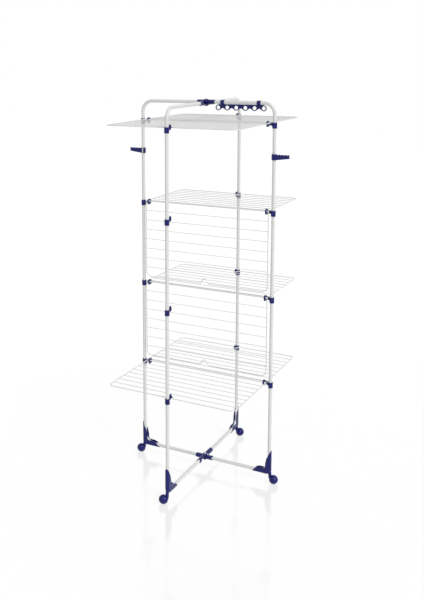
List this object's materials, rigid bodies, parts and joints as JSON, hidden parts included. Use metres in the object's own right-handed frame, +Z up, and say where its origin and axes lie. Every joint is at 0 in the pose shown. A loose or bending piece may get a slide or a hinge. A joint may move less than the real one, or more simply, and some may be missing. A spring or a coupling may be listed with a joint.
{
  "type": "tower clothes airer",
  "caption": "Folding tower airer: crossing tube hoops on ball castors, with hinged wire racks, snap-in catches, hanger arms and a peg rail",
  "frame": {"origin": "on the floor, under the upright axis that the airer folds about", "axes": "+X to the rack hoop's right upright, +Y to the catch hoop's back upright, +Z up"},
  "size_m": [0.7898, 0.8438, 1.775],
  "materials": {
    "white_enamel": "satin white stoved enamel",
    "blue_plastic": "moulded royal blue, half gloss",
    "zinc_steel": "zinc plated"
  },
  "bodies": {
    "rack_hoop": {"rack_hoop_tube_left": "white_enamel", "foot_left": "blue_plastic", "rack_hoop_tube_right": "white_enamel", "foot_right": "blue_plastic", "top_pivot_rack_sleeve": "blue_plastic", "top_pivot_pin": "zinc_steel", "base_pivot_rack_sleeve": "blue_plastic", "base_pivot_pin": "zinc_steel", "rack_bracket_left_1": "blue_plastic", "rack_bracket_right_1": "blue_plastic", "rack_bracket_left_2": "blue_plastic", "rack_bracket_right_2": "blue_plastic", "rack_bracket_left_3": "blue_plastic", "rack_bracket_right_3": "blue_plastic", "rack_bracket_left_4": "blue_plastic", "rack_bracket_right_4": "blue_plastic", "peg_rail": "blue_plastic"},
    "catch_hoop": {"catch_hoop_tube_front": "white_enamel", "foot_front": "blue_plastic", "catch_hoop_tube_back": "white_enamel", "foot_back": "blue_plastic", "top_pivot_catch_sleeve": "blue_plastic", "base_pivot_catch_sleeve": "blue_plastic", "catch_front_1": "blue_plastic", "catch_back_1": "blue_plastic", "catch_front_2": "blue_plastic", "catch_back_2": "blue_plastic", "catch_front_3": "blue_plastic", "catch_back_3": "blue_plastic", "catch_front_4": "blue_plastic", "catch_back_4": "blue_plastic"},
    "rack_front_1": {"rack_front_1": "white_enamel"},
    "rack_back_1": {"rack_back_1": "white_enamel"},
    "rack_front_2": {"rack_front_2": "white_enamel"},
    "rack_back_2": {"rack_back_2": "white_enamel"},
    "rack_front_3": {"rack_front_3": "white_enamel"},
    "rack_back_3": {"rack_back_3": "white_enamel"},
    "rack_front_4": {"rack_front_4": "white_enamel"},
    "rack_back_4": {"rack_back_4": "white_enamel"},
    "hanger_arm_left": {"hanger_arm_left": "blue_plastic"},
    "hanger_arm_right": {"hanger_arm_right": "blue_plastic"},
    "castor_left": {"castor_housing_left": "blue_plastic", "castor_axle_left": "zinc_steel"},
    "castor_wheel_left": {"castor_wheel_left": "blue_plastic"},
    "castor_right": {"castor_housing_right": "blue_plastic", "castor_axle_right": "zinc_steel"},
    "castor_wheel_right": {"castor_wheel_right": "blue_plastic"},
    "castor_front": {"castor_housing_front": "blue_plastic", "castor_axle_front": "zinc_steel"},
    "castor_wheel_front": {"castor_wheel_front": "blue_plastic"},
    "castor_back": {"castor_housing_back": "blue_plastic", "castor_axle_back": "zinc_steel"},
    "castor_wheel_back": {"castor_wheel_back": "blue_plastic"}
  },
  "joints": [
    {"name": "fold", "type": "hinge", "parent": "rack_hoop", "child": "catch_hoop", "pos_m": [0, 0, 0.9], "axis": [0, 0, 1], "range_deg": [0, 69]},
    {"name": "rack_front_1_hinge", "type": "hinge", "parent": "rack_hoop", "child": "rack_front_1", "pos_m": [0, -0.009, 0.48896], "axis": [1, 0, 0], "range_deg": [0, 90.05]},
    {"name": "rack_back_1_hinge", "type": "hinge", "parent": "rack_hoop", "child": "rack_back_1", "pos_m": [0, 0.009, 0.48896], "axis": [-1, 0, 0], "range_deg": [0, 90.05]},
    {"name": "rack_front_2_hinge", "type": "hinge", "parent": "rack_hoop", "child": "rack_front_2", "pos_m": [0, -0.009, 0.88848], "axis": [1, 0, 0], "range_deg": [-90, 0]},
    {"name": "rack_back_2_hinge", "type": "hinge", "parent": "rack_hoop", "child": "rack_back_2", "pos_m": [0, 0.009, 0.88848], "axis": [-1, 0, 0], "range_deg": [0, 90.05]},
    {"name": "rack_front_3_hinge", "type": "hinge", "parent": "rack_hoop", "child": "rack_front_3", "pos_m": [0, -0.009, 1.28391], "axis": [1, 0, 0], "range_deg": [-90, 0]},
    {"name": "rack_back_3_hinge", "type": "hinge", "parent": "rack_hoop", "child": "rack_back_3", "pos_m": [0, 0.009, 1.28391], "axis": [-1, 0, 0], "range_deg": [0, 90.05]},
    {"name": "rack_front_4_hinge", "type": "hinge", "parent": "rack_hoop", "child": "rack_front_4", "pos_m": [0, -0.009, 1.67355], "axis": [1, 0, 0], "range_deg": [0, 90.05]},
    {"name": "rack_back_4_hinge", "type": "hinge", "parent": "rack_hoop", "child": "rack_back_4", "pos_m": [0, 0.009, 1.67355], "axis": [-1, 0, 0], "range_deg": [0, 90.05]},
    {"name": "hanger_arm_left_swivel", "type": "hinge", "parent": "rack_hoop", "child": "hanger_arm_left", "pos_m": [-0.3264, 0, 1.5251], "axis": [0, 0, 1], "range_deg": [-95, 95]},
    {"name": "hanger_arm_right_swivel", "type": "hinge", "parent": "rack_hoop", "child": "hanger_arm_right", "pos_m": [0.3264, 0, 1.5251], "axis": [0, 0, 1], "range_deg": [-95, 95]},
    {"name": "castor_swivel_left", "type": "hinge", "parent": "rack_hoop", "child": "castor_left", "pos_m": [-0.3304, 0, 0.05], "axis": [0, 0, 1], "continuous": true},
    {"name": "castor_roll_left", "type": "hinge", "parent": "castor_left", "child": "castor_wheel_left", "pos_m": [-0.34714, -0.00295, 0.0214], "axis": [0.1736, -0.9848, 0], "continuous": true},
    {"name": "castor_swivel_right", "type": "hinge", "parent": "rack_hoop", "child": "castor_right", "pos_m": [0.3304, 0, 0.05], "axis": [0, 0, 1], "continuous": true},
    {"name": "castor_roll_right", "type": "hinge", "parent": "castor_right", "child": "castor_wheel_right", "pos_m": [0.34714, 0.00295, 0.0214], "axis": [-0.1736, 0.9848, 0], "continuous": true},
    {"name": "castor_swivel_front", "type": "hinge", "parent": "catch_hoop", "child": "castor_front", "pos_m": [0, -0.396, 0.05], "axis": [0, 0, 1], "continuous": true},
    {"name": "castor_roll_front", "type": "hinge", "parent": "castor_front", "child": "castor_wheel_front", "pos_m": [-0.01642, -0.4004, 0.0214], "axis": [0.2588, -0.9659, 0], "continuous": true},
    {"name": "castor_swivel_back", "type": "hinge", "parent": "catch_hoop", "child": "castor_back", "pos_m": [0, 0.396, 0.05], "axis": [0, 0, 1], "continuous": true},
    {"name": "castor_roll_back", "type": "hinge", "parent": "castor_back", "child": "castor_wheel_back", "pos_m": [0.01642, 0.4004, 0.0214], "axis": [-0.2588, 0.9659, 0], "continuous": true}
  ],
  "couplings": [
    {"joint": "rack_front_1_hinge", "follows": "fold", "ratio": 1.3051},
    {"joint": "rack_back_1_hinge", "follows": "fold", "ratio": 1.3051},
    {"joint": "rack_back_2_hinge", "follows": "fold", "ratio": 1.3051},
    {"joint": "rack_back_3_hinge", "follows": "fold", "ratio": 1.3051},
    {"joint": "rack_front_4_hinge", "follows": "fold", "ratio": 1.3051},
    {"joint": "rack_back_4_hinge", "follows": "fold", "ratio": 1.3051}
  ]
}
